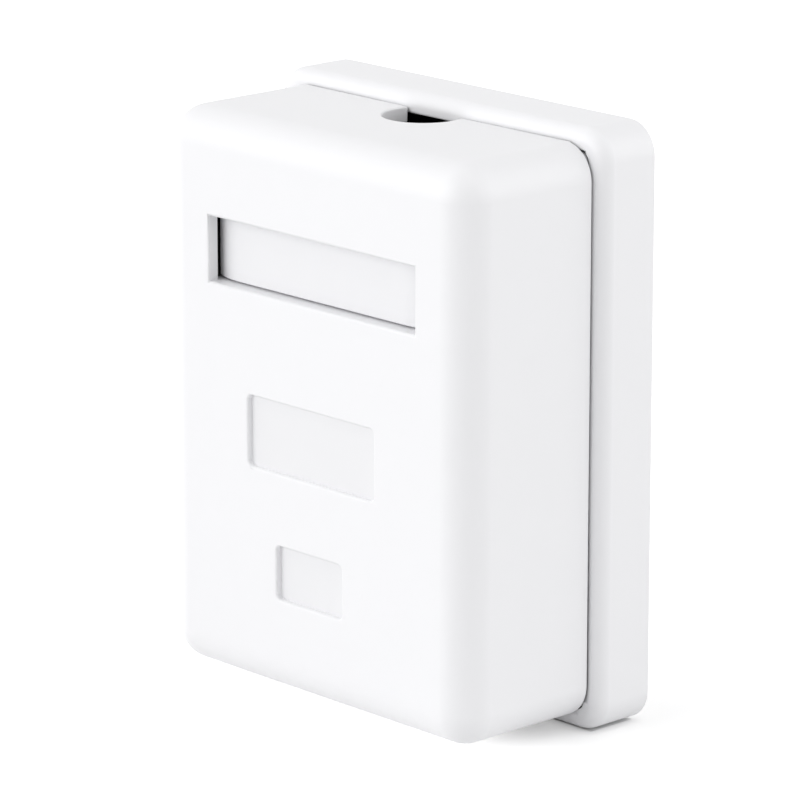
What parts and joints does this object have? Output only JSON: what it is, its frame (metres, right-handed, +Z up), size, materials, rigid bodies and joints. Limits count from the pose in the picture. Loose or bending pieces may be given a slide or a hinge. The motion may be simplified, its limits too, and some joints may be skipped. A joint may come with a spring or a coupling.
{
  "type": "surface mount jack box",
  "caption": "Wall box for data cabling: a base with a circuit board, shielded jacks facing down, punch-down terminals and a cable clamp, under a pull-off cover with a label window.",
  "frame": {"origin": "middle of the four wall screws' pattern, on the wall plane", "axes": "+X right seen from the front, +Y into the wall, +Z up; the front faces -Y and the jacks face -Z"},
  "size_m": [0.065, 0.033, 0.084],
  "materials": {
    "shell_plastic": "white moulded plastic, fine satin",
    "label_plastic": "white, smooth",
    "sheet_steel": "tinned sheet, satin",
    "screw_steel": "bright zinc plate",
    "jack_screen": "nickel plate",
    "jack_insert": "black moulded plastic",
    "gold_contact": "gold flash",
    "board": "green solder mask",
    "terminal_plastic": "ivory moulded plastic",
    "fork_contact": "silver plate"
  },
  "bodies": {
    "base": {"base": "shell_plastic", "shield_tray": "sheet_steel", "circuit_board": "board", "board_screws": "screw_steel", "jack_shell_left": "jack_screen", "jack_housing_left": "jack_insert", "jack_contacts_left": "gold_contact", "jack_shell_right": "jack_screen", "jack_housing_right": "jack_insert", "jack_contacts_right": "gold_contact", "terminal_block_upper_left": "terminal_plastic", "terminal_contacts_upper_left": "fork_contact", "terminal_block_upper_right": "terminal_plastic", "terminal_contacts_upper_right": "fork_contact", "terminal_block_lower_left": "terminal_plastic", "terminal_contacts_lower_left": "fork_contact", "terminal_block_lower_right": "terminal_plastic", "terminal_contacts_lower_right": "fork_contact"},
    "front_cover": {"front_cover": "shell_plastic", "cover_screws": "screw_steel"},
    "label_plate": {"label_plate": "label_plastic"},
    "cable_clamp": {"cable_clamp": "sheet_steel", "clamp_screws": "screw_steel"}
  },
  "joints": [
    {"name": "cover_pull", "type": "slide", "parent": "base", "child": "front_cover", "axis": [0, -1, 0], "range_m": [0, 0.03]},
    {"name": "label_pull", "type": "slide", "parent": "front_cover", "child": "label_plate", "axis": [0, -1, 0], "range_m": [0, 0.012]},
    {"name": "clamp_slack", "type": "slide", "parent": "base", "child": "cable_clamp", "axis": [0, -1, 0], "range_m": [0, 0.002]}
  ]
}
